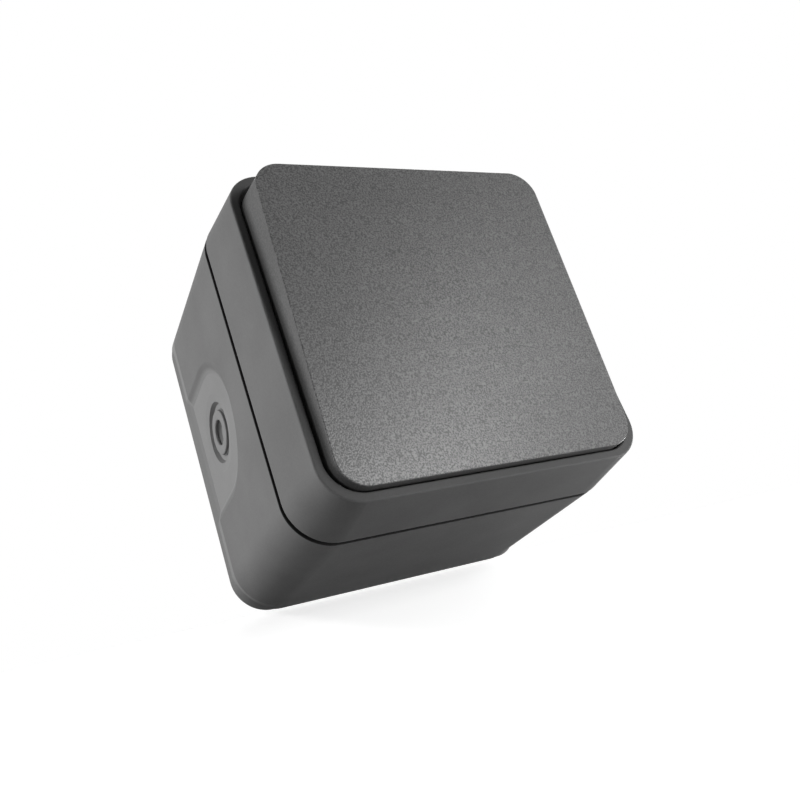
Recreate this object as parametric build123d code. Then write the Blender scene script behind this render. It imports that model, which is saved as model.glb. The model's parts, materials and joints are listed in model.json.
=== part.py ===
from build123d import *
import math
import os

# Surface-mounted, splash-proof changeover switch, in millimetres. The wall is the plane y = 0, the
# front faces -Y, +Z points up the wall and the origin is the centre of the back face. A depth is a
# distance from the wall. The rocker is modelled in the position with its upper edge out.

# Housing outside
box_width = 66.0
box_height = 65.7
corner_radius = 8.2
parting_depth = 35.3
parting_gap = 1.0
cover_height = 13.4
side_draft = 0.3
end_draft = 0.47
cover_draft = 1.45
rim_edge_radius = 0.4
parting_edge_radius = 0.15

# Sloped foot along the two side walls at the back
upper_corner_draft = 1.6
foot_stand = 0.4
foot_edge = 0.4
foot_slope_run = 1.3
foot_slope_depth = 2.4
foot_lower_corner = 6.9
foot_end_step = 0.1
back_edge_radius = 0.3

# Housing walls and the joint between box and cover
wall = 2.4
back_wall = 2.6
tongue_wall = 1.0
tongue_height = 2.4
cover_seal_height = 1.2
mould_clearance = 0.15
spigot_wall = 1.5
cover_floor_thickness = 2.2

# Rocker opening in the cover
rim_width = 1.5
opening_corner = 6.0
opening_edge_radius = 0.3

# Cable entry recess and knock-out in the side walls
entry_half_width = 13.7
entry_arch_depth = 12.6
entry_centre_depth = 13.2
entry_recess = 0.72
entry_flank_run = 2.1
entry_edge_radius = 0.8
dish_radius = 7.6
dish_depth = 0.2
knockout_radius = 5.9
knockout_depth = 0.76
knockout_wall_run = 0.4
boss_radius = 4.5
boss_height = 0.25
boss_edge_radius = 0.2
dimple_radius = 2.6
dimple_depth = 0.62
dimple_wall_run = 0.7

# Back face
back_rim_width = 4.0
back_relief = 0.8
back_relief_corner = 4.0
wall_slot_spacing = 46.0
wall_slot_width = 4.4
wall_slot_length = 7.0
wall_slot_pad = 3.0
wall_boss_wall = 2.2
wall_boss_height = 1.4
rear_knockout_radius = 9.0
rear_groove_width = 1.0
rear_groove_depth = 1.4
rear_pad_margin = 3.0

# Screws
screw_radius = 1.5
screw_head_radius = 2.8
screw_head_height = 2.0
screw_slot_width = 0.8
screw_slot_depth = 0.9
screw_thread_clearance = 0.02
screw_hole_clearance = 0.2
screw_engagement = 9.0
screw_round_share = 1 / 3
screw_head_room = 1.65
thread_run_out = 1.0
post_radius = 3.6
post_web = 1.6
post_web_below = 3.0

# Rocker
rocker_side_gap = 1.0
rocker_end_gap = 0.8
rocker_corner = 5.1
rocker_tilt = 4.85
rocker_face_above_pivot = 8.3
rocker_face_thickness = 2.2
rocker_skirt_depth = 9.6
rocker_flare_depth = 6.6
rocker_side_flare = 0.65
rocker_end_flare = 0.3
rocker_skirt_wall = 1.8
rocker_edge_radius = 0.2
rocker_rib_thickness = 1.2
rocker_rib_height = 3.0
rocker_rib_offset = 15.0
clip_wall = 1.5
clip_height = 4.4
clip_return = 4.0
clip_clearance = 0.05
pivot_behind_rim = 4.3
chamber_clearance = 1.0

# Cradle under the rocker
cradle_width = 17.6
cradle_length = 24.0
cradle_thickness = 3.0
cradle_corner = 1.5
cheek_thickness = 2.0
cheek_half_length = 4.0
trunnion_radius = 2.0
trunnion_clearance = 0.06
trunnion_length = 3.0
guide_radius = 4.0
guide_length = 12.4
guide_web = 2.0
guide_web_length = 7.0
spring_room = 4.5

# Plunger and spring
plunger_radius = 2.5
plunger_clearance = 0.06
plunger_reach = 15.2
plunger_length = 10.2
plunger_nose_radius = 1.7
plunger_nose_length = 2.2
plunger_tip_height = 0.9
spring_wire_radius = 0.22
spring_coil_radius = 1.9
spring_turns = 6

# Contact lever
lever_ratio = 1.0
lever_width = 7.0
lever_end_margin = 0.1
lever_thickness = 1.2
lever_seat = 0.25
lever_flange_thickness = 0.8
lever_flange_height = 1.6
lever_flange_half_length = 5.0
lever_end_radius = 1.6
plunger_gap = 0.35
fulcrum_radius = 0.8
fulcrum_clearance = 0.06
contact_arm = 9.0
contact_radius = 1.5
contact_edge_radius = 0.35
lever_contact_height = 1.0
way_contact_height = 0.9
contact_gap = 0.1

# Terminals
strip_thickness = 1.0
neck_width = 4.2
tab_length = 8.0
tab_width = 7.0
common_strip_width = 6.0
terminal_margin = 0.7
way_terminal_z = 10.5
clamp_length = 7.0
clamp_width = 6.4
clamp_thickness = 1.6
clamp_groove_radius = 0.9
clamp_groove_gap = 0.3
terminal_screw_radius = 1.7
terminal_head_radius = 3.0
terminal_head_height = 2.2
terminal_screw_tail = 4.0

# Switch insert
insert_height = 15.0
insert_corner = 5.0
lever_headroom = 4.0
lever_side_room = 1.1
lever_end_room = 1.4
chamber_room = 0.6
insert_lug_x = 12.0
insert_lug_overhang = 3.0
insert_lug_radius = 4.2
insert_lug_thickness = 3.0
cap_thickness = 2.0
cap_stop_clearance = 0.25
cap_driver_clearance = 0.4
lug_thickness = 3.0
lug_clearance = 0.3
lug_radius = 4.0
cap_leg_width = 7.0
cap_leg_thickness = 1.4
cap_leg_length = 5.5
cap_hook_depth = 0.8
cap_hook_height = 1.2

# Frame seal between insert and cover
mechanism_seal_height = 1.2
mechanism_seal_overhang = 0.6
seal_land = 0.5
window_corner = 4.0
window_collar_wall = 1.6

# Depths that follow from the sizes above
rim_depth = parting_depth + cover_height
box_edge = parting_depth - parting_gap / 2
cover_edge = parting_depth + parting_gap / 2
tongue_top = box_edge + tongue_height
groove_top = tongue_top + cover_seal_height
pivot_depth = rim_depth - pivot_behind_rim
swing_sine = math.sin(math.radians(rocker_tilt))
opening_width = box_width - 2 * cover_draft - 2 * rim_width
opening_height = box_height - 2 * cover_draft - 2 * rim_width
rocker_width = opening_width - 2 * rocker_side_gap
rocker_height = opening_height - 2 * rocker_end_gap
skirt_end = pivot_depth + rocker_face_above_pivot - rocker_skirt_depth
skirt_lowest = skirt_end - (rocker_height / 2 + rocker_end_flare) * swing_sine
cover_floor_front = skirt_lowest - chamber_clearance
cover_floor_back = cover_floor_front - cover_floor_thickness
plunger_tip = pivot_depth - plunger_reach
fulcrum_depth = plunger_tip - plunger_gap - lever_thickness - lever_seat
lever_tilt = rocker_tilt * lever_ratio
lever_sine = math.sin(math.radians(lever_tilt))
closed_contact = fulcrum_depth + lever_seat - lever_contact_height - (contact_arm + contact_radius) * lever_sine
strip_front = closed_contact - contact_gap - way_contact_height
strip_back = strip_front - strip_thickness
insert_front = fulcrum_depth + lever_headroom
insert_back = insert_front - insert_height
cap_front = insert_front + cap_thickness
collar_end = cap_front + mechanism_seal_height

# Widths and places that follow
cover_taper = math.degrees(math.atan(cover_draft / (rim_depth - cover_edge)))
ledge = wall - tongue_wall
rocker_inset = cover_draft + rim_width + rocker_side_gap
post_inset = rocker_inset + rocker_skirt_wall + screw_head_room + screw_head_radius
post_x = box_width / 2 - post_inset
post_z = box_height / 2 - post_inset
screw_hole_radius = screw_radius + screw_hole_clearance
cradle_back = pivot_depth + rocker_face_above_pivot - rocker_face_thickness - cradle_thickness
guide_end = pivot_depth - guide_length
lever_half_length = contact_arm + contact_radius + lever_end_margin
lug_inside = cradle_width / 2 + lug_clearance
driver_hole_radius = terminal_head_radius + cap_driver_clearance
terminal_x = lug_inside + lug_thickness + driver_hole_radius + terminal_margin
window_width = 2 * (terminal_x + driver_hole_radius + seal_land)
window_length = 2 * (way_terminal_z + driver_hole_radius + seal_land)
collar_width = window_width + 2 * window_collar_wall
collar_length = window_length + 2 * window_collar_wall
collar_corner = window_corner + window_collar_wall
insert_width = collar_width + 2 * mechanism_seal_overhang + 2 * seal_land
insert_length = collar_length + 2 * mechanism_seal_overhang + 2 * seal_land
insert_lug_z = insert_length / 2 + insert_lug_overhang
terminal_places = {
    "common": (-terminal_x, 0.0),
    "first_way": (terminal_x, way_terminal_z),
    "second_way": (terminal_x, -way_terminal_z),
}
post_places = [(sx * post_x, sz * post_z) for sx in (-1, 1) for sz in (-1, 1)]
insert_lug_places = [(-insert_lug_x, insert_lug_z), (insert_lug_x, -insert_lug_z)]


def wall_plane(depth):
    """Plane parallel to the wall that faces the room: its x is X, its y is Z."""
    return Plane(origin=(0, -depth, 0), x_dir=(1, 0, 0), z_dir=(0, -1, 0))


def side_plane(x):
    """Plane across X: its x is -Y, the depth, and its y is Z. Extrusion runs along -X."""
    return Plane(origin=(x, 0, 0), x_dir=(0, -1, 0), z_dir=(-1, 0, 0))


def slab(start, end, width, length, corner=0.0, x=0.0, z=0.0):
    """Block between two depths, with rounded corners where a radius is given."""
    outline = RectangleRounded(width, length, corner) if corner else Rectangle(width, length)
    return extrude(wall_plane(start) * Pos(x, z) * outline, end - start)


def drum(start, end, radius, x=0.0, z=0.0):
    """Round block between two depths."""
    return extrude(wall_plane(start) * Pos(x, z) * Circle(radius), end - start)


def cone(plane, start_radius, end_radius, height):
    """Tapered round plug that grows from a plane along its normal."""
    return loft([plane * Circle(start_radius), plane.offset(height) * Circle(end_radius)])


def inset_outline(inset):
    """Outline of the housing at the parting line, moved inwards."""
    return RectangleRounded(box_width - 2 * inset, box_height - 2 * inset, corner_radius - inset)


def ring(start, end, outer_inset, inner_inset):
    """Square ring between two depths that follows the housing's outline."""
    plane = wall_plane(start)
    return extrude(plane * inset_outline(outer_inset) - plane * inset_outline(inner_inset), end - start)


def front_face(shape):
    return shape.faces().sort_by(Axis.Y)[0]


def back_face(shape):
    return shape.faces().sort_by(Axis.Y)[-1]


def turned(shape, depth, angle):
    """Shape turned about a line along X at a depth; a positive angle brings its top to the front."""
    return shape.rotate(Axis((0, -depth, 0), (1, 0, 0)), angle)


def group(shapes):
    return Compound(children=[solid for shape in shapes for solid in shape.solids()])


def screw(seat, x, z, radius, head_radius, head_height, tail):
    """Slotted pan-head screw whose head sits on a seat and whose tip reaches a depth."""
    head = drum(seat, seat + head_height, head_radius, x, z)
    head = fillet(front_face(head).edges(), head_height * screw_round_share)
    slot_start = seat + head_height - screw_slot_depth
    head -= slab(slot_start, seat + head_height, 2 * head_radius, screw_slot_width, 0.0, x, z)
    shank = drum(tail, seat, radius, x, z)
    shank = chamfer(back_face(shank).edges(), radius * screw_round_share)
    return head + shank


def cornered(width, height, upper_corner, lower_corner):
    """Rectangle whose upper and lower corners are rounded by their own radii."""
    outline = Rectangle(width, height)
    outline = fillet(outline.vertices().group_by(Axis.Y)[-1], upper_corner)
    return fillet(outline.vertices().group_by(Axis.Y)[0], lower_corner)


def box_outline(depth, inset=0.0):
    """Outline of the drafted box at a depth, moved inwards; its upper corners tighten to the wall."""
    share = 1 - depth / box_edge
    width = box_width - 2 * side_draft * share - 2 * inset
    height = box_height - 2 * end_draft * share - 2 * inset
    upper_corner = corner_radius - upper_corner_draft * share - inset
    return wall_plane(depth) * cornered(width, height, upper_corner, corner_radius - inset)


def foot_outline(depth, inset=0.0):
    """Outline of the foot at a depth, moved inwards."""
    width = box_width - 2 * side_draft + 2 * foot_stand - 2 * inset
    height = box_height - 2 * end_draft - 2 * foot_end_step - 2 * inset
    return wall_plane(depth) * cornered(width, height, corner_radius - inset, foot_lower_corner - inset)


def entry_plane():
    """Plane on the drafted left wall, facing into the box: its x runs from the wall to the front."""
    foot = box_width / 2 - side_draft
    return Plane(origin=(-foot, 0, 0), x_dir=(-side_draft, -box_edge, 0), z_dir=(box_edge, -side_draft, 0))


def arch(half_width):
    """Arch whose foot lies behind the wall plane and whose round end points to the front."""
    centre = entry_arch_depth
    foot = -foot_slope_depth
    straight = Polyline((centre, half_width), (foot, half_width), (foot, -half_width), (centre, -half_width))
    crown = ThreePointArc((centre, -half_width), (centre + half_width, 0), (centre, half_width))
    return make_face(Curve() + straight + crown)


def entry_recess_cutter():
    """Arched recess of the left cable entry, open towards the wall."""
    plane = entry_plane()
    mouth = plane * arch(entry_half_width)
    floor = plane.offset(entry_recess) * arch(entry_half_width - entry_flank_run)
    return loft([mouth, floor], ruled=True) + extrude(mouth, -wall)


def knockout_cutter():
    """Round knock-out in the floor of the left recess: dish, groove, boss and dimple."""
    floor = Plane(entry_plane() * Pos(entry_centre_depth, 0)).offset(entry_recess)
    dish = cone(floor, dish_radius, knockout_radius, dish_depth)
    groove_plane = floor.offset(dish_depth)
    groove = cone(groove_plane, knockout_radius, knockout_radius - knockout_wall_run, knockout_depth)
    boss_plane = groove_plane.offset(knockout_depth - boss_height)
    boss = extrude(boss_plane * Circle(boss_radius), wall)
    boss = fillet(boss.edges().sort_by(Axis.X)[0], boss_edge_radius)
    dimple = cone(boss_plane, dimple_radius, dimple_radius - dimple_wall_run, dimple_depth)
    return dish + (groove - boss) + dimple


def recess_edges(box):
    """Edges of both recesses that lie on the outside of the side walls."""
    plane = entry_plane()
    crown_reach = entry_arch_depth + entry_half_width
    chosen = []
    for edge in box.edges():
        middle = edge @ 0.5
        left = plane.to_local_coords(Vector(-abs(middle.X), middle.Y, middle.Z))
        flat = abs(left.Z) < mould_clearance / 10
        if flat and left.X < crown_reach + mould_clearance and abs(left.Y) < entry_half_width + mould_clearance:
            chosen.append(edge)
    return chosen


def foot():
    """Plate at the back whose edge stands proud of the two side walls and slopes up to them."""
    plate = extrude(foot_outline(0), foot_edge)
    plate = fillet(back_face(plate).edges(), back_edge_radius)
    slope_end = foot_edge + foot_slope_depth
    return plate + loft([foot_outline(foot_edge), foot_outline(slope_end, foot_slope_run)], ruled=True)


def back_relief_cutter():
    """Shallow relief in the back face that leaves a rim and flat pads at the fixing places."""
    back_width = box_width - 2 * side_draft - 2 * back_rim_width
    back_height = box_height - 2 * end_draft - 2 * back_rim_width
    relief = slab(0, back_relief, back_width, back_height, back_relief_corner)
    relief -= drum(0, back_relief, rear_knockout_radius + rear_groove_width + rear_pad_margin)
    pad_width = wall_slot_width + 2 * wall_slot_pad
    for side in (-1, 1):
        pad_length = back_height / 2 - wall_slot_spacing / 2 + wall_slot_length / 2 + wall_slot_pad
        pad_centre = side * (back_height - pad_length) / 2
        relief -= slab(0, back_relief, pad_width, pad_length, 0.0, 0.0, pad_centre)
    return relief


def corner_post(x, z):
    """Screw post for the cover, tied to both walls of its corner by webs."""
    post = drum(back_wall / 2, cover_floor_back, post_radius, x, z)
    web_end = box_edge - post_web_below
    reach_x = box_width / 2 - wall / 2 - side_draft - abs(x)
    reach_z = box_height / 2 - wall / 2 - end_draft - abs(z)
    side_x = math.copysign(1, x)
    side_z = math.copysign(1, z)
    post += slab(back_wall / 2, web_end, reach_x, post_web, 0.0, x + side_x * reach_x / 2, z)
    post += slab(back_wall / 2, web_end, post_web, reach_z, 0.0, x, z + side_z * reach_z / 2)
    return post


def back_box():
    box = loft([box_outline(0), box_outline(box_edge)], ruled=True)
    left_recess = entry_recess_cutter()
    box -= left_recess
    box -= mirror(left_recess, about=Plane.YZ)
    box = fillet(recess_edges(box), entry_edge_radius)
    box = fillet(front_face(box).edges(), parting_edge_radius)
    box += foot()
    box -= loft([box_outline(back_wall, wall), box_outline(box_edge, wall)], ruled=True)
    box += ring(box_edge - wall, tongue_top, ledge, wall)
    left_knockout = knockout_cutter()
    box -= left_knockout
    box -= mirror(left_knockout, about=Plane.YZ)
    for x, z in post_places:
        box += corner_post(x, z)
    for x, z in insert_lug_places:
        box += drum(back_wall / 2, insert_back, post_radius, x, z)
    boss_width = wall_slot_width + 2 * wall_boss_wall
    boss_length = wall_slot_length + 2 * wall_boss_wall
    slot = Rot(0, 0, 90) * SlotOverall(wall_slot_length, wall_slot_width)
    boss = Rot(0, 0, 90) * SlotOverall(boss_length, boss_width)
    for z in (-wall_slot_spacing / 2, wall_slot_spacing / 2):
        box += extrude(wall_plane(back_wall / 2) * Pos(0, z) * boss, back_wall / 2 + wall_boss_height)
    box -= back_relief_cutter()
    for z in (-wall_slot_spacing / 2, wall_slot_spacing / 2):
        box -= extrude(wall_plane(0) * Pos(0, z) * slot, back_wall + wall_boss_height)
    groove = drum(0, rear_groove_depth, rear_knockout_radius + rear_groove_width)
    box -= groove - drum(0, rear_groove_depth, rear_knockout_radius)
    thread_radius = screw_radius + screw_thread_clearance
    hole_depth = screw_engagement + thread_run_out
    for x, z in post_places:
        box -= drum(cover_floor_back - hole_depth, cover_floor_back, thread_radius, x, z)
    for x, z in insert_lug_places:
        box -= drum(insert_back - hole_depth, insert_back, thread_radius, x, z)
    return box


def cover_frame():
    cover = extrude(wall_plane(cover_edge) * inset_outline(0), rim_depth - cover_edge, taper=cover_taper)
    cover = fillet(front_face(cover).edges(), rim_edge_radius)
    cover = fillet(back_face(cover).edges(), parting_edge_radius)
    cover -= slab(cover_floor_front, rim_depth, opening_width, opening_height, opening_corner)
    opening_edges = front_face(cover).inner_wires()[0].edges()
    cover = fillet(opening_edges, opening_edge_radius)
    cover -= ring(cover_edge, groove_top, ledge - mould_clearance, wall + mould_clearance)
    inside = wall_plane(cover_edge) * inset_outline(wall + mould_clearance + spigot_wall)
    cover -= extrude(inside, cover_floor_back - cover_edge)
    cover += slab(collar_end, cover_floor_front, collar_width, collar_length, collar_corner)
    cover -= slab(collar_end, cover_floor_front, window_width, window_length, window_corner)
    for x, z in post_places:
        cover -= drum(cover_floor_back, cover_floor_front, screw_hole_radius, x, z)
    return cover


def cover_seal():
    return ring(tongue_top, groove_top, ledge, wall)


def cover_screws():
    tail = cover_floor_back - screw_engagement
    sizes = (screw_radius, screw_head_radius, screw_head_height, tail)
    return group([screw(cover_floor_front, x, z, *sizes) for x, z in post_places])


def mechanism_seal():
    outer_width = collar_width + 2 * mechanism_seal_overhang
    outer_length = collar_length + 2 * mechanism_seal_overhang
    seal = slab(cap_front, collar_end, outer_width, outer_length, collar_corner + mechanism_seal_overhang)
    return seal - slab(cap_front, collar_end, window_width, window_length, window_corner)


def terminal_chamber(x, z):
    """Open-sided pocket for a clamp, from the strip's level to the front of the insert."""
    inner = abs(x) - tab_length / 2 - chamber_room
    length = insert_width / 2 - inner
    centre = math.copysign(inner + length / 2, x)
    return slab(strip_back, insert_front, length, tab_width + 2 * chamber_room, 0.0, centre, z)


def insert_base():
    base = slab(insert_back, insert_front, insert_width, insert_length, insert_corner)
    for x, z in insert_lug_places:
        ear_end = insert_back + insert_lug_thickness
        base += drum(insert_back, ear_end, insert_lug_radius, x, z)
        bridge = slab(insert_back, ear_end, 2 * insert_lug_radius, insert_lug_overhang, 0.0, x, 0)
        base += bridge.translate((0, 0, math.copysign(insert_lug_z - insert_lug_overhang / 2, z)))
        base -= drum(insert_back, ear_end, screw_hole_radius, x, z)
    well_half = lever_half_length + lever_end_room
    well_width = lever_width + 2 * lever_side_room
    base -= slab(strip_back, insert_front, well_width, 2 * well_half)
    for x, z in terminal_places.values():
        base -= terminal_chamber(x, z)
        path_z = math.copysign(contact_arm, z) if z else 0.0
        path_width = (neck_width if z else common_strip_width) + 2 * mould_clearance
        base -= slab(strip_back, insert_front, abs(x), path_width, 0.0, x / 2, path_z)
        tail_room = terminal_screw_radius + screw_hole_clearance
        base -= drum(strip_back - terminal_screw_tail - thread_run_out, strip_back, tail_room, x, z)
    notch_end = insert_front - cap_leg_length + cap_hook_height + mould_clearance
    notch_start = insert_front - cap_leg_length - mould_clearance
    notch_depth = cap_hook_depth + mould_clearance
    for side in (-1, 1):
        notch_z = side * (insert_length - notch_depth) / 2
        notch_width = cap_leg_width + 2 * mould_clearance
        base -= slab(notch_start, notch_end, notch_width, notch_depth, 0.0, 0.0, notch_z)
    return base


def bearing_lug():
    """Lug of the insert cap on the right side, with the bearing of a trunnion."""
    plane = side_plane(lug_inside + lug_thickness)
    height = pivot_depth - insert_front
    foot = Pos(insert_front + height / 2, 0) * Rectangle(height, 2 * lug_radius)
    eye = Pos(pivot_depth, 0) * Circle(lug_radius)
    bore = Pos(pivot_depth, 0) * Circle(trunnion_radius + trunnion_clearance)
    return extrude(plane * (foot + eye - bore), lug_thickness)


def cap_leg(side):
    """Snap leg of the insert cap at its upper or lower edge."""
    leg_start = insert_front - cap_leg_length
    leg_z = side * (insert_length + cap_leg_thickness) / 2
    leg = slab(leg_start, cap_front, cap_leg_width, cap_leg_thickness, 0.0, 0.0, leg_z)
    hook_z = side * (insert_length - cap_hook_depth) / 2
    return leg + slab(leg_start, leg_start + cap_hook_height, cap_leg_width, cap_hook_depth, 0.0, 0.0, hook_z)


def insert_cap():
    cap = slab(insert_front, cap_front, insert_width, insert_length, insert_corner)
    lug = bearing_lug()
    cap += lug
    cap += mirror(lug, about=Plane.YZ)
    for side in (-1, 1):
        cap += cap_leg(side)
    sway = (pivot_depth - insert_front) * swing_sine
    stop_half = guide_radius + sway + cap_stop_clearance
    stop_width = 2 * (guide_radius + mould_clearance + cap_stop_clearance)
    cap -= slab(insert_front, cap_front, stop_width, 2 * stop_half)
    for x, z in terminal_places.values():
        cap -= drum(insert_front, cap_front, driver_hole_radius, x, z)
    return cap


def insert_screws():
    seat = insert_back + insert_lug_thickness
    tail = insert_back - screw_engagement
    sizes = (screw_radius, screw_head_radius, screw_head_height, tail)
    return group([screw(seat, x, z, *sizes) for x, z in insert_lug_places])


def strip_tab(x, z):
    """Flat end of a brass strip under its clamp, with the screw's hole."""
    tab = slab(strip_back, strip_front, tab_length, tab_width, 0.0, x, z)
    return tab - drum(strip_back, strip_front, terminal_screw_radius + screw_thread_clearance, x, z)


def common_terminal():
    x, z = terminal_places["common"]
    reach = abs(x) + lever_width / 2 - tab_length / 2
    centre = (lever_width / 2 + x + tab_length / 2) / 2
    strip = strip_tab(x, z) + slab(strip_back, strip_front, reach, common_strip_width, 0.0, centre, z)
    plane = side_plane(lever_width / 2)
    height = fulcrum_depth - strip_back
    post = Pos(strip_back + height / 2, 0) * Rectangle(height, 2 * fulcrum_radius)
    crest = Pos(fulcrum_depth, 0) * Circle(fulcrum_radius)
    return strip + extrude(plane * (post + crest), lever_width)


def way_terminal(name):
    x, z = terminal_places[name]
    contact_z = math.copysign(contact_arm, z)
    end = -neck_width / 2
    inner = x - tab_length / 2
    neck = slab(strip_back, strip_front, inner - end, neck_width, 0.0, (inner + end) / 2, contact_z)
    return strip_tab(x, z) + neck


def way_contact(name):
    z = math.copysign(contact_arm, terminal_places[name][1])
    button = drum(strip_front, strip_front + way_contact_height, contact_radius, 0.0, z)
    return fillet(front_face(button).edges(), contact_edge_radius)


def wire_clamp(name):
    """Clamp plate with two grooves that bite on the wires."""
    x, z = terminal_places[name]
    clamp = slab(strip_front, strip_front + clamp_thickness, clamp_length, clamp_width, 0.0, x, z)
    for side in (-1, 1):
        groove_z = z + side * (terminal_screw_radius + screw_hole_clearance + clamp_groove_gap)
        groove = Plane(origin=(x, -strip_front, groove_z), z_dir=(1, 0, 0)) * Circle(clamp_groove_radius)
        clamp -= extrude(groove, clamp_length, both=True)
    hole_radius = terminal_screw_radius + screw_hole_clearance
    return clamp - drum(strip_front, strip_front + clamp_thickness, hole_radius, x, z)


def terminal_screws():
    seat = strip_front + clamp_thickness
    tail = strip_back - terminal_screw_tail
    sizes = (terminal_screw_radius, terminal_head_radius, terminal_head_height, tail)
    return group([screw(seat, x, z, *sizes) for x, z in terminal_places.values()])


def rocker_clip(side):
    """Walls under the rocker's face that grip one end of the cradle."""
    inside_z = cradle_length / 2 + clip_clearance
    inside_x = cradle_width / 2 + clip_clearance
    face = pivot_depth + rocker_face_above_pivot - rocker_face_thickness
    start = face - clip_height
    end_z = side * (inside_z + clip_wall / 2)
    clip = slab(start, face, 2 * (inside_x + clip_wall), clip_wall, 0.0, 0.0, end_z)
    for side_x in (-1, 1):
        return_x = side_x * (inside_x + clip_wall / 2)
        return_z = side * (inside_z - clip_return / 2)
        clip += slab(start, face, clip_wall, clip_return, 0.0, return_x, return_z)
    return clip


def rocker_ribs():
    """Stiffening ribs across the inside of the rocker's face, clear of the clips."""
    face = pivot_depth + rocker_face_above_pivot - rocker_face_thickness
    start = face - rocker_rib_height
    inner_width = rocker_width - rocker_skirt_wall
    inner_height = rocker_height - rocker_skirt_wall
    ribs = slab(start, face, rocker_rib_thickness, inner_height, 0.0, rocker_rib_offset, 0.0)
    ribs += slab(start, face, rocker_rib_thickness, inner_height, 0.0, -rocker_rib_offset, 0.0)
    for side in (-1, 1):
        ribs += slab(start, face, inner_width, rocker_rib_thickness, 0.0, 0.0, side * rocker_rib_offset)
    return ribs


def rocker_button():
    face = pivot_depth + rocker_face_above_pivot
    flare_end = face - rocker_flare_depth
    foot_width = rocker_width + 2 * rocker_side_flare
    foot_height = rocker_height + 2 * rocker_end_flare
    foot = RectangleRounded(foot_width, foot_height, rocker_corner + rocker_side_flare)
    top = RectangleRounded(rocker_width, rocker_height, rocker_corner)
    rocker = loft([wall_plane(flare_end) * foot, wall_plane(face) * top], ruled=True)
    rocker = fillet(front_face(rocker).edges(), rocker_edge_radius)
    rocker += extrude(wall_plane(skirt_end) * foot, flare_end - skirt_end)
    hollow_width = rocker_width - 2 * rocker_skirt_wall
    hollow_height = rocker_height - 2 * rocker_skirt_wall
    hollow_corner = rocker_corner - rocker_skirt_wall
    rocker -= slab(skirt_end, face - rocker_face_thickness, hollow_width, hollow_height, hollow_corner)
    rocker += rocker_ribs()
    for side in (-1, 1):
        rocker += rocker_clip(side)
    return turned(rocker, pivot_depth, rocker_tilt)


def cradle_cheek():
    """Right cheek of the cradle, with the trunnion that turns in the bearing lug."""
    plane = side_plane(cradle_width / 2)
    height = cradle_back - pivot_depth
    arm = Pos(pivot_depth + height / 2, 0) * Rectangle(height, 2 * cheek_half_length)
    eye = Pos(pivot_depth, 0) * Circle(cheek_half_length)
    cheek = extrude(plane * (arm + eye), cheek_thickness)
    trunnion_end = cradle_width / 2 + lug_clearance + trunnion_length
    trunnion = side_plane(trunnion_end) * Pos(pivot_depth, 0) * Circle(trunnion_radius)
    return cheek + extrude(trunnion, trunnion_end - cradle_width / 2 + cheek_thickness / 2)


def rocker_cradle():
    front = cradle_back + cradle_thickness
    cradle = slab(cradle_back, front, cradle_width, cradle_length, cradle_corner)
    cheek = cradle_cheek()
    cradle += cheek
    cradle += mirror(cheek, about=Plane.YZ)
    cradle += drum(guide_end, cradle_back, guide_radius)
    web_width = cradle_width - cheek_thickness
    cradle += slab(cradle_back - guide_web_length, cradle_back, web_width, guide_web)
    bore = plunger_radius + plunger_clearance
    cradle -= drum(guide_end, pivot_depth + spring_room, bore)
    return turned(cradle, pivot_depth, rocker_tilt)


def plunger():
    """Round plunger with a narrow domed nose, sliding in the cradle's guide."""
    head = plunger_tip + plunger_length
    nose_start = plunger_tip + plunger_nose_length
    dome_start = plunger_tip + plunger_tip_height
    shoulder = nose_start + plunger_radius - plunger_nose_radius
    sphere = (plunger_nose_radius**2 + plunger_tip_height**2) / (2 * plunger_tip_height)
    middle_angle = math.asin(plunger_nose_radius / sphere) / 2
    middle = (sphere * math.sin(middle_angle), plunger_tip + sphere * (1 - math.cos(middle_angle)))
    sides = Polyline(
        (0, plunger_tip),
        (0, head),
        (plunger_radius, head),
        (plunger_radius, shoulder),
        (plunger_nose_radius, nose_start),
        (plunger_nose_radius, dome_start),
    )
    dome = ThreePointArc((plunger_nose_radius, dome_start), middle, (0, plunger_tip))
    half_plane = Plane(origin=(0, 0, 0), x_dir=(1, 0, 0), z_dir=(0, 0, -1))
    profile = half_plane * make_face(Curve() + sides + dome)
    return turned(revolve(profile, Axis.Y), pivot_depth, rocker_tilt)


def plunger_spring():
    start = plunger_tip + plunger_length + spring_wire_radius
    height = pivot_depth + spring_room - spring_wire_radius - start
    coil = Helix(pitch=height / spring_turns, height=height, radius=spring_coil_radius)
    wire = Plane(origin=coil @ 0, z_dir=coil % 0) * Circle(spring_wire_radius)
    spring = wall_plane(start) * sweep(wire, path=coil, is_frenet=True)
    return turned(spring, pivot_depth, rocker_tilt)


def contact_lever():
    """Channel-shaped lever that rocks on the ridge of the common terminal."""
    seat = fulcrum_depth + lever_seat
    front = seat + lever_thickness
    lever = slab(seat, front, lever_width, 2 * lever_half_length, lever_end_radius)
    flange_x = (lever_width - lever_flange_thickness) / 2
    for side in (-1, 1):
        sizes = (lever_flange_thickness, 2 * lever_flange_half_length)
        lever += slab(front, front + lever_flange_height, *sizes, 0.0, side * flange_x, 0.0)
    groove_circle = Pos(fulcrum_depth, 0) * Circle(fulcrum_radius + fulcrum_clearance)
    lever -= extrude(side_plane(lever_width / 2) * groove_circle, lever_width)
    return turned(lever, fulcrum_depth, -lever_tilt)


def lever_contact(side):
    seat = fulcrum_depth + lever_seat
    button = drum(seat - lever_contact_height, seat, contact_radius, 0.0, side * contact_arm)
    button = fillet(back_face(button).edges(), contact_edge_radius)
    return turned(button, fulcrum_depth, -lever_tilt)


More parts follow.
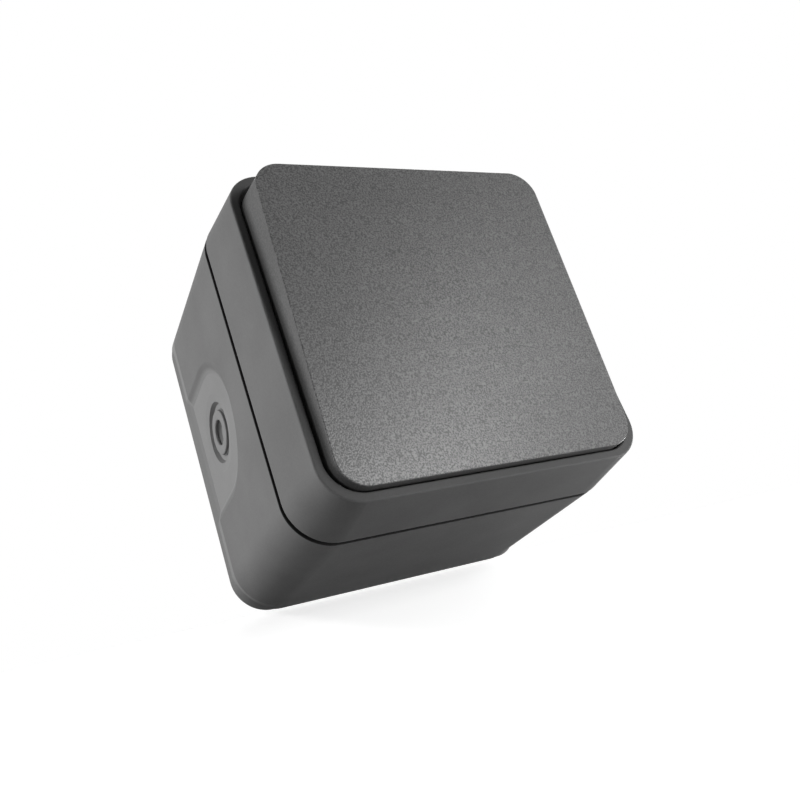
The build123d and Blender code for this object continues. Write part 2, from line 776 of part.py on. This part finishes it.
parts = {
    "back_box": back_box(),
    "cover_frame": cover_frame(),
    "cover_seal": cover_seal(),
    "cover_screws": cover_screws(),
    "mechanism_seal": mechanism_seal(),
    "insert_base": insert_base(),
    "insert_cap": insert_cap(),
    "insert_screws": insert_screws(),
    "common_terminal": common_terminal(),
    "first_way_terminal": way_terminal("first_way"),
    "second_way_terminal": way_terminal("second_way"),
    "first_way_contact": way_contact("first_way"),
    "second_way_contact": way_contact("second_way"),
    "common_clamp": wire_clamp("common"),
    "first_way_clamp": wire_clamp("first_way"),
    "second_way_clamp": wire_clamp("second_way"),
    "terminal_screws": terminal_screws(),
    "rocker_button": rocker_button(),
    "rocker_cradle": rocker_cradle(),
    "plunger": plunger(),
    "plunger_spring": plunger_spring(),
    "contact_lever": contact_lever(),
    "upper_lever_contact": lever_contact(1),
    "lower_lever_contact": lever_contact(-1),
}

os.makedirs("parts", exist_ok=True)
for name, shape in parts.items():
    export_step(shape, f"parts/{name}.step")
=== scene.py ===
import json
import math

import bmesh
import bpy
from mathutils import Matrix, Vector


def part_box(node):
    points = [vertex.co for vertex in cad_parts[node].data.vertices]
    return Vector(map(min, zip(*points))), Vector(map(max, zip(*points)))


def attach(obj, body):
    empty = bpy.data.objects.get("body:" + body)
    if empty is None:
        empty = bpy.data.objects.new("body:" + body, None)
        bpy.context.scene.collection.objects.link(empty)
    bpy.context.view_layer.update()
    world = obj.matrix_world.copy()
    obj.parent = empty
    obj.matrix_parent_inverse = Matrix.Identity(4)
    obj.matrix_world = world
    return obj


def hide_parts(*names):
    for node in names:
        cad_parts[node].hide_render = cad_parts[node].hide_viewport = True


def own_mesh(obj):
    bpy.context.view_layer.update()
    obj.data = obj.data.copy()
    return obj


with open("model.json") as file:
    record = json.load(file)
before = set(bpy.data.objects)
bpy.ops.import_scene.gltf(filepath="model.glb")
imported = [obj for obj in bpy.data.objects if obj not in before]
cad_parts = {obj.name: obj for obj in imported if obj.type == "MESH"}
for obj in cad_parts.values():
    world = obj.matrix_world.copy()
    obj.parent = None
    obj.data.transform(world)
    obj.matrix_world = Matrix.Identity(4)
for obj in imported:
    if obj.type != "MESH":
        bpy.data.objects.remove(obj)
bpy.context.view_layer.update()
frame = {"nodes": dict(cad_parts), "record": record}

mm = 0.001
nodes = frame["nodes"]
scene = bpy.context.scene
slot_of_node = {part["node"]: part["material_slot"] for part in frame["record"]["subparts"]}

# The frame's own plain materials make way for the finishes below
for piece in nodes.values():
    piece.data.materials.clear()
for plain in list(bpy.data.materials):
    bpy.data.materials.remove(plain)

# The rocker's pivot and the way its face looks at rest, as in the part's source
rocker_pivot = Vector((0, -44.4, 0)) * mm
rocker_tilt = math.radians(4.85)
face_normal = Vector((0, -math.cos(rocker_tilt), -math.sin(rocker_tilt)))
face_above_pivot = 8.3 * mm

# The drafted side walls of the box, with the foot that slopes up to them
side_wall_start = 32.7 * mm
side_wall_lean = 0.3 / 34.8
foot_top = 2.65 * mm
foot_corner = 6.9 * mm
back_edge = 0.05 * mm

# The cable entry pads that are sunk in the side walls, and how far in from the walls their skin reaches
pad_depth = 0.72 * mm
pad_half_width = 13.7 * mm
pad_reach = 26.3 * mm
pad_skin = 2.4 * mm

# The gap between the box and its cover, which starts at the lip of the box; shade is painted into it
parting_start = 34.8 * mm
parting_end = 35.8 * mm
box_lip = 0.16 * mm

# The flat front of the cover's rim, and the skin on it where shade is painted
rim_front = -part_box("cover_frame")[0][1]
rim_shade_skin = 0.2 * mm

# The round knock-outs in the pads: the face of their boss, and the rim on it round the dimple
boss_centre = Vector((31.384, -13.212, 0)) * mm
boss_rim_outer = 4.3 * mm
boss_rim_inner = 2.4 * mm
boss_rim_height = 0.48 * mm
boss_rim_root = 0.3 * mm
boss_rim_edge = 0.24 * mm
boss_rim_steps = 96
boss_rim_edge_steps = 4

# Lengths below which two radii or two points of a mesh count as the same
same_radius = 0.01 * mm
same_point = 0.001 * mm

# The span that holds most of the values of a noise
noise_low = 0.3
noise_high = 0.7

# Widths over which one skin of the housing, or a painted shade or highlight on it, passes into another
soft_edge = 0.2 * mm
fine_edge = 0.1 * mm

# The housing's greys, with the shares of them left by painted shade in the gap and on the rim's front, and
# its skin
housing_dark = (0.108,) * 3
housing_light = (0.215,) * 3
gap_painted_shade_share = 0.12
rim_painted_shade_share = 0.72
flow_size = 12 * mm
flow_part = 0.7
speck_size = 0.3 * mm
speck_part = 0.3
mottle_part = 0.3
# Share of the paler skin on the pads and foot, which is partly painted highlight
pale_skin_and_highlight_part = 0.7
satin_size = 0.45 * mm
satin_depth = 0.004 * mm
satin_smoothest = 0.57
satin_roughest = 0.63
housing_specular = 0.12

# The rocker's greys, the grain of its face, and its plainer skirt, darkened by painted shade
rocker_dark = (0.036,) * 3
rocker_light = (0.144,) * 3
face_skin = 0.15 * mm
face_level = 0.5
grain_size = 0.28 * mm
grain_low = 0.36
grain_high = 0.64
grain_depth = 0.009 * mm
cloud_size = 9 * mm
cloud_part = 0.06
pit_roughness = 0.38
speck_roughness = 0.28
# The skirt's lower level is painted shade
skirt_painted_shade_level = 0.09
skirt_grain = 0.15
skirt_added_roughness = 0.3
rocker_specular = 0.35

# The plain mouldings and the metals: how their roughness varies, and the marks and tarnish on metal
mottle_swing = 0.05
mark_smoother = 0.06
mark_rougher = 0.08
mark_depth = 0.003 * mm
tarnish_size = 3 * mm


# Node trees

class Nodes:
    """A node tree whose nodes are added one by one."""

    def __init__(self, tree):
        self.tree = tree

    def join(self, socket, value):
        """Sets a socket to a number or colour, or links another node's output to it."""
        if isinstance(value, bpy.types.NodeSocket):
            self.tree.links.new(value, socket)
        else:
            socket.default_value = value

    def node(self, kind, settings=None, **inputs):
        """Adds a node with its settings and its inputs by name."""
        made = self.tree.nodes.new("ShaderNode" + kind)
        for name, value in (settings or {}).items():
            setattr(made, name, value)
        for name, value in inputs.items():
            self.join(made.inputs[name.replace("_", " ")], value)
        return made

    def pair(self, kind, settings, one, other):
        """Adds a node that works on two inputs in order."""
        made = self.node(kind, settings)
        self.join(made.inputs[0], one)
        self.join(made.inputs[1], other)
        return made

    def product(self, one, other):
        """One number times the other."""
        return self.pair("Math", {"operation": "MULTIPLY"}, one, other).outputs["Value"]

    def total(self, one, other):
        """One number plus the other."""
        return self.pair("Math", {"operation": "ADD"}, one, other).outputs["Value"]

    def larger(self, one, other):
        """The larger of two numbers."""
        return self.pair("Math", {"operation": "MAXIMUM"}, one, other).outputs["Value"]

    def dot(self, one, other):
        """Dot product of two vectors."""
        return self.pair("VectorMath", {"operation": "DOT_PRODUCT"}, one, other).outputs["Value"]

    def spread(self, value, low, high, start=noise_low, end=noise_high, curve="LINEAR"):
        """Value mapped from the span start to end onto the span low to high."""
        span = {"From_Min": start, "From_Max": end, "To_Min": low, "To_Max": high}
        return self.node("MapRange", {"interpolation_type": curve}, Value=value, **span).outputs["Result"]

    def seen_directly(self, gloss_share):
        """1 for rays from the camera and through glass, a share for gloss, and 0 for diffuse light."""
        path = self.node("LightPath").outputs
        gloss = self.product(path["Is Glossy Ray"], gloss_share)
        return self.larger(self.larger(path["Is Camera Ray"], gloss), path["Is Transmission Ray"])


class Finish(Nodes):
    """A piece's material, with its patterns on the piece's own coordinates."""

    def __init__(self, name):
        self.material = bpy.data.materials.new(name)
        self.material.use_nodes = True
        super().__init__(self.material.node_tree)
        self.shader = self.tree.nodes["Principled BSDF"]
        self.place = self.node("TexCoord").outputs["Object"]

    def surface(self, **inputs):
        """Sets or links the shader's own sockets."""
        for name, value in inputs.items():
            self.join(self.shader.inputs[name.replace("_", " ")], value)

    def bump(self, height, depth):
        """Raises the surface by height times depth."""
        self.surface(Normal=self.node("Bump", Height=height, Distance=depth).outputs["Normal"])

    def drawn_out(self, stretch):
        """The piece's coordinates, squeezed along the axes that a pattern is drawn out along."""
        return self.node("Mapping", Vector=self.place, Scale=stretch).outputs["Vector"]

    def noise(self, size, detail, place=None):
        """Soft blotches about as large as size, from 0 to 1."""
        made = self.node("TexNoise", Vector=place or self.place, Scale=1 / size, Detail=detail)
        return made.outputs["Fac"]

    def rise(self, value, start, end):
        """0 up to start, and 1 from end on."""
        return self.spread(value, 0.0, 1.0, start, end)

    def fall(self, value, start, end):
        """1 up to start, and 0 from end on."""
        return self.spread(value, 1.0, 0.0, start, end)

    def mixed(self, share, none, full):
        """Number between two numbers, by a share from 0 to 1."""
        return self.spread(share, none, full, 0.0, 1.0)

    def colour(self, share, first, last):
        """Colour between two colours, by a share from 0 to 1."""
        made = self.node("ValToRGB", Fac=share)
        made.color_ramp.elements[0].color = (*first, 1.0)
        made.color_ramp.elements[1].color = (*last, 1.0)
        return made.outputs["Color"]

    def scaled(self, colour, share):
        """Colour times a share."""
        made = self.node("VectorMath", {"operation": "SCALE"}, Vector=colour, Scale=share)
        return made.outputs["Vector"]

    def height_along(self, point, direction):
        """Distance from a point, measured along a direction."""
        offset = self.pair("VectorMath", {"operation": "SUBTRACT"}, self.place, point)
        return self.dot(offset.outputs["Vector"], direction)

    def along_both_sides(self, direction, start=0.0):
        """Distance past start along a direction, taken alike on the left and right, above and below."""
        unsigned = self.node("VectorMath", {"operation": "ABSOLUTE"})
        self.join(unsigned.inputs[0], self.place)
        return self.total(self.dot(unsigned.outputs["Vector"], direction), -start)


# Finishes

def pale_skin_and_painted_highlight(finish, depth):
    """Share of the paler skin: on the cable entry pads a smoother skin with painted highlight, on the foot
    painted highlight, and none on the back.
    """
    above_wall = finish.along_both_sides((1, -side_wall_lean, 0), side_wall_start)
    height = finish.along_both_sides((0, 0, 1))
    sunk = finish.fall(above_wall, -0.8 * pad_depth, -0.4 * pad_depth)
    in_skin = finish.rise(above_wall, -1.05 * pad_skin, -0.95 * pad_skin)
    in_width = finish.fall(height, pad_half_width - soft_edge, pad_half_width + soft_edge)
    in_reach = finish.fall(depth, pad_reach - soft_edge, pad_reach + soft_edge)
    pad = finish.product(finish.product(sunk, in_skin), finish.product(in_width, in_reach))
    # The foot is paler by painted highlight
    near_wall = finish.rise(above_wall, -foot_corner, -pad_depth)
    foot = finish.product(near_wall, finish.fall(depth, foot_top - soft_edge, foot_top + soft_edge))
    off_back = finish.rise(depth, back_edge, back_edge + soft_edge)
    return finish.product(finish.total(pad, foot), off_back)


def painted_gap_and_rim_shade(finish, depth):
    """Share of the colour left by painted shade in the parting gap and on the front of the rim."""
    past_box = finish.rise(depth, parting_start - box_lip, parting_start - box_lip + fine_edge)
    in_gap = finish.product(past_box, finish.fall(depth, parting_end - fine_edge, parting_end))
    on_rim = finish.rise(depth, rim_front - rim_shade_skin, rim_front - 0.25 * rim_shade_skin)
    gap_shade = finish.mixed(in_gap, 1.0, gap_painted_shade_share)
    return finish.product(gap_shade, finish.mixed(on_rim, 1.0, rim_painted_shade_share))


def housing_plastic():
    """Dark grey moulding with a satin skin and faint flow marks, paler on the pads and the foot, partly by
    painted highlight, and darker by painted shade in the parting gap and on the rim's front.
    """
    finish = Finish("housing_plastic")
    depth = finish.along_both_sides((0, 1, 0))
    flow = finish.product(finish.noise(flow_size, detail=3.0), flow_part)
    specks = finish.product(finish.noise(speck_size, detail=1.0), speck_part)
    mottle = finish.spread(finish.total(flow, specks), 0.0, mottle_part)
    # Paler pads and foot, partly by painted highlight
    shade = finish.total(mottle, finish.product(pale_skin_and_painted_highlight(finish, depth), pale_skin_and_highlight_part))
    tint = finish.colour(shade, housing_dark, housing_light)
    # Painted shade darkens the colour in the parting gap and on the rim's front
    finish.surface(Base_Color=finish.scaled(tint, painted_gap_and_rim_shade(finish, depth)))
    satin = finish.noise(satin_size, detail=2.0)
    finish.surface(Roughness=finish.spread(satin, satin_smoothest, satin_roughest))
    finish.surface(Specular_IOR_Level=housing_specular)
    finish.bump(satin, satin_depth)
    return finish.material


def rocker_plastic():
    """Dark grey moulding with a spark-eroded face whose pale specks are glossier, and a satin skirt
    darkened by painted shade.
    """
    finish = Finish("rocker_plastic")
    height = finish.height_along(rocker_pivot, face_normal)
    on_face = finish.rise(height, face_above_pivot - face_skin, face_above_pivot - 0.2 * face_skin)
    grain = finish.noise(grain_size, detail=1.0)
    pits_and_specks = finish.spread(grain, -0.5, 0.5, grain_low, grain_high)
    specks = finish.product(pits_and_specks, finish.mixed(on_face, skirt_grain, 1.0))
    cloud = finish.spread(finish.noise(cloud_size, detail=2.0), -cloud_part, cloud_part)
    # The skirt's lower level is painted shade
    level = finish.mixed(on_face, skirt_painted_shade_level, face_level)
    shade = finish.total(finish.total(cloud, specks), level)
    finish.surface(Base_Color=finish.colour(shade, rocker_dark, rocker_light))
    face_roughness = finish.spread(grain, pit_roughness, speck_roughness, grain_low, grain_high)
    roughness = finish.total(finish.mixed(on_face, skirt_added_roughness, 0.0), face_roughness)
    finish.surface(Roughness=roughness, Specular_IOR_Level=rocker_specular)
    finish.bump(specks, grain_depth)
    return finish.material


def moulded(name, dark, light, roughness, blotch, depth):
    """Plain moulding or rubber with a fine mottle."""
    finish = Finish(name)
    mottle = finish.noise(blotch, detail=3.0)
    finish.surface(Base_Color=finish.colour(finish.spread(mottle, 0.0, 1.0), dark, light))
    finish.surface(Roughness=finish.spread(mottle, roughness - mottle_swing, roughness + mottle_swing))
    finish.bump(mottle, depth)
    return finish.material


def metal(name, dark, light, roughness, mark, stretch):
    """Bare metal with the marks of rolling, drawing or plating drawn out along one way."""
    finish = Finish(name)
    marks = finish.noise(mark, detail=3.0, place=finish.drawn_out(stretch))
    tarnish = finish.noise(tarnish_size, detail=2.0)
    finish.surface(Base_Color=finish.colour(finish.spread(tarnish, 0.0, 1.0), dark, light), Metallic=1.0)
    finish.surface(Roughness=finish.spread(marks, roughness - mark_smoother, roughness + mark_rougher))
    finish.bump(marks, mark_depth)
    return finish.material


# Stretches of the marks on metal
even = (1.0, 1.0, 1.0)
along_x = (0.06, 1.0, 1.0)
along_z = (1.0, 1.0, 0.06)

# Colours of the seals, the insert and the metals inside
rubber_dark = (0.016,) * 3
rubber_light = (0.024,) * 3
insert_dark = (0.6, 0.6, 0.58)
insert_light = (0.64, 0.64, 0.62)
acetal_dark = (0.78, 0.76, 0.7)
acetal_light = (0.82, 0.8, 0.74)
brass_dark = (0.68, 0.49, 0.22)
brass_light = (0.76, 0.57, 0.28)
copper_dark = (0.68, 0.38, 0.24)
copper_light = (0.76, 0.46, 0.3)
silver_dark = (0.82, 0.82, 0.79)
silver_light = (0.9, 0.9, 0.89)
zinc_dark = (0.58, 0.58, 0.59)
zinc_light = (0.66, 0.66, 0.65)
wire_dark = (0.46,) * 3
wire_light = (0.54,) * 3

finishes = [
    housing_plastic(),
    rocker_plastic(),
    moulded("seal_rubber", rubber_dark, rubber_light, roughness=0.72, blotch=0.5 * mm, depth=0.01 * mm),
    moulded("insert_plastic", insert_dark, insert_light, roughness=0.5, blotch=0.4 * mm, depth=0.006 * mm),
    moulded("plunger_plastic", acetal_dark, acetal_light, roughness=0.3, blotch=1.5 * mm, depth=0.003 * mm),
    metal("terminal_brass", brass_dark, brass_light, roughness=0.3, mark=0.12 * mm, stretch=along_x),
    metal("lever_copper", copper_dark, copper_light, roughness=0.3, mark=0.12 * mm, stretch=along_z),
    metal("contact_silver", silver_dark, silver_light, roughness=0.24, mark=0.2 * mm, stretch=even),
    metal("screw_steel", zinc_dark, zinc_light, roughness=0.34, mark=0.2 * mm, stretch=even),
    metal("spring_steel", wire_dark, wire_light, roughness=0.3, mark=0.1 * mm, stretch=even),
]
materials = {material.name: material for material in finishes}
for name, piece in nodes.items():
    piece.data.materials.append(materials[slot_of_node[name]])


# New pieces

def new_piece(name, mesh, body, slot):
    """Smooth object of a finished mesh, which rides on a body and takes a slot's finish."""
    for face in mesh.faces:
        face.smooth = True
    data = bpy.data.meshes.new(name)
    mesh.to_mesh(data)
    mesh.free()
    data.materials.append(materials[slot])
    made = bpy.data.objects.new(name, data)
    scene.collection.objects.link(made)
    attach(made, body)
    return made


def is_top_circle(edge):
    """Whether an edge runs round a knock-out's rim at its top."""
    one, other = (vertex.co for vertex in edge.verts)
    at_top = min(one.z, other.z) > 0.9 * boss_rim_height
    return at_top and abs(one.xy.length - other.xy.length) < same_radius


def knock_out_rim(name, side):
    """Raised rim with rounded edges on a knock-out's boss; side is -1 on the left and 1 on the right."""
    mesh = bmesh.new()
    section = [
        (boss_rim_outer, -boss_rim_root),
        (boss_rim_outer, boss_rim_height),
        (boss_rim_inner, boss_rim_height),
        (boss_rim_inner, -boss_rim_root),
    ]
    corners = [mesh.verts.new((radius, 0, height)) for radius, height in section]
    edges = [mesh.edges.new((corners[index - 1], corners[index])) for index in range(len(corners))]
    outline = corners + edges
    bmesh.ops.spin(
        mesh, geom=outline, axis=(0, 0, 1), angle=math.tau, steps=boss_rim_steps, use_merge=True)
    bmesh.ops.recalc_face_normals(mesh, faces=mesh.faces)
    tops = [edge for edge in mesh.edges if is_top_circle(edge)]
    bmesh.ops.bevel(
        mesh, geom=tops, offset=boss_rim_edge, segments=boss_rim_edge_steps, profile=0.5,
        affect="EDGES", material=-1)
    outwards = Vector((side, side_wall_lean, 0))
    bmesh.ops.rotate(mesh, verts=mesh.verts, matrix=outwards.to_track_quat("Z", "Y").to_matrix())
    place = Vector((side * boss_centre.x, boss_centre.y, boss_centre.z))
    bmesh.ops.translate(mesh, verts=mesh.verts, vec=place)
    new_piece(name, mesh, "housing", "housing_plastic")


def plunger_coil():
    """The plunger's wire spring, a smooth copy of the frame's spring that rides on the rocker."""
    mesh = bmesh.new()
    mesh.from_mesh(nodes["plunger_spring"].data)
    bmesh.ops.remove_doubles(mesh, verts=mesh.verts, dist=same_point)
    coil = new_piece("plunger_coil", mesh, "rocker", "spring_steel")
    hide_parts("plunger_spring")
    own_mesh(coil)


knock_out_rim("left_knock_out_rim", -1)
knock_out_rim("right_knock_out_rim", 1)
plunger_coil()


# Camera, at the photograph's place

camera_place = Vector((-80.44, -155.45, -69.10)) * mm
camera_right = Vector((0.8597, -0.3937, -0.3254))
camera_up = Vector((0.1073, -0.4837, 0.8686))
camera_back = camera_right.cross(camera_up)
camera_lens = 38.26
camera_shift = (-0.0159, 0.0171)

camera = bpy.data.objects.new("camera", bpy.data.cameras.new("camera"))
scene.collection.objects.link(camera)
scene.camera = camera
camera_turn = Matrix((camera_right, camera_up, camera_back)).transposed()
camera.matrix_world = Matrix.Translation(camera_place) @ camera_turn.to_4x4()
camera.data.lens = camera_lens
camera.data.shift_x, camera.data.shift_y = camera_shift
camera.data.clip_start = 1 * mm


# Studio

object_middle = Vector((0, -25, 0)) * mm

# The floor, which touches the lower back edge of the box and fades out further on
floor_edge = Vector((0, 1.0, -32.0)) * mm
floor_slope = math.radians(39.6)
floor_reach = 300 * mm
floor_paint = 0.66
floor_glow = 0.68
fade_start = 0.4 * floor_reach
fade_end = 0.95 * floor_reach

# A shade painted on the floor near the lower back edge, where gloss shows only a share of the white
painted_shade_start = 30 * mm
painted_shade_end = 120 * mm
painted_shade_gloss_share = 0.25


def white_surroundings():
    """White world that is seen but doesn't light the object."""
    world = bpy.data.worlds.new("studio")
    scene.world = world
    world.use_nodes = True
    white = Nodes(world.node_tree)
    background = white.tree.nodes["Background"]
    white.join(background.inputs["Color"], (1, 1, 1, 1))
    white.join(background.inputs["Strength"], white.seen_directly(gloss_share=1.0))


def lamp(name, direction, distance, size, power):
    """Soft square lamp that looks at the object from a direction in the camera's axes."""
    light = bpy.data.lights.new(name, "AREA")
    light.size = size
    light.energy = power
    made = bpy.data.objects.new(name, light)
    scene.collection.objects.link(made)
    right, up, towards_camera = direction
    way = (right * camera_right + up * camera_up + towards_camera * camera_back).normalized()
    made.location = object_middle + distance * way
    made.rotation_euler = way.to_track_quat("Z", "Y").to_euler()
    made.visible_camera = False


def floor_finish():
    """White floor that keeps the object's shadow, shows a painted shade in its gloss near the lower back
    edge, and fades out before its edges.
    """
    finish = Finish("floor")
    offset = finish.pair("VectorMath", {"operation": "DISTANCE"}, finish.place, floor_edge)
    distance = offset.outputs["Value"]
    # Painted shade: gloss sees less of the floor's glow near the lower back edge
    gloss_share = finish.spread(distance, painted_shade_gloss_share, 1.0, painted_shade_start, painted_shade_end, "SMOOTHSTEP")
    strength = finish.product(finish.seen_directly(gloss_share), floor_glow)
    paint = finish.node("BsdfDiffuse", Color=(floor_paint, floor_paint, floor_paint, 1))
    glow = finish.node("Emission", Strength=strength)
    lit = finish.pair("AddShader", None, paint.outputs["BSDF"], glow.outputs["Emission"])
    fade = finish.spread(distance, 0.0, 1.0, fade_start, fade_end, "SMOOTHSTEP")
    blend = finish.pair("MixShader", None, fade, lit.outputs["Shader"])
    finish.join(blend.inputs[2], finish.node("BsdfTransparent").outputs["BSDF"])
    finish.tree.nodes.remove(finish.shader)
    finish.join(finish.tree.nodes["Material Output"].inputs["Surface"], blend.outputs["Shader"])
    return finish.material


def floor():
    """Floor under the lower back edge, which falls away to the front."""
    mesh = bmesh.new()
    bmesh.ops.create_grid(mesh, x_segments=1, y_segments=1, size=floor_reach)
    bmesh.ops.translate(mesh, verts=mesh.verts, vec=(0, -floor_reach, 0))
    slope = Matrix.Rotation(floor_slope, 3, "X")
    bmesh.ops.rotate(mesh, verts=mesh.verts, cent=(0, 0, 0), matrix=slope)
    bmesh.ops.translate(mesh, verts=mesh.verts, vec=floor_edge)
    data = bpy.data.meshes.new("floor")
    mesh.to_mesh(data)
    mesh.free()
    data.materials.append(floor_finish())
    made = bpy.data.objects.new("floor", data)
    scene.collection.objects.link(made)
    made.visible_diffuse = False


white_surroundings()
floor()
lamp("key_upper", (0.68, 0.70, 0.25), distance=0.6, size=0.12, power=0.25)
lamp("key", (0.76, 0.58, 0.30), distance=0.6, size=0.12, power=0.3)
lamp("key_lower", (0.72, 0.50, 0.50), distance=0.6, size=0.12, power=1.32)
lamp("left_side", (-0.99, -0.09, -0.02), distance=0.6, size=0.35, power=2.65)
lamp("left_high", (-0.85, 0.40, 0.30), distance=0.6, size=0.12, power=0.95)
lamp("left_low", (-0.50, -0.30, 0.81), distance=0.25, size=0.06, power=0.14)
lamp("right_near", (0.85, -0.20, 0.48), distance=0.18, size=0.06, power=0.1)
lamp("right_low", (0.94, -0.15, -0.10), distance=0.15, size=0.03, power=0.1)
lamp("back", (0.0, 0.35, -0.94), distance=0.6, size=0.35, power=3.6)

scene.view_settings.view_transform = "Standard"
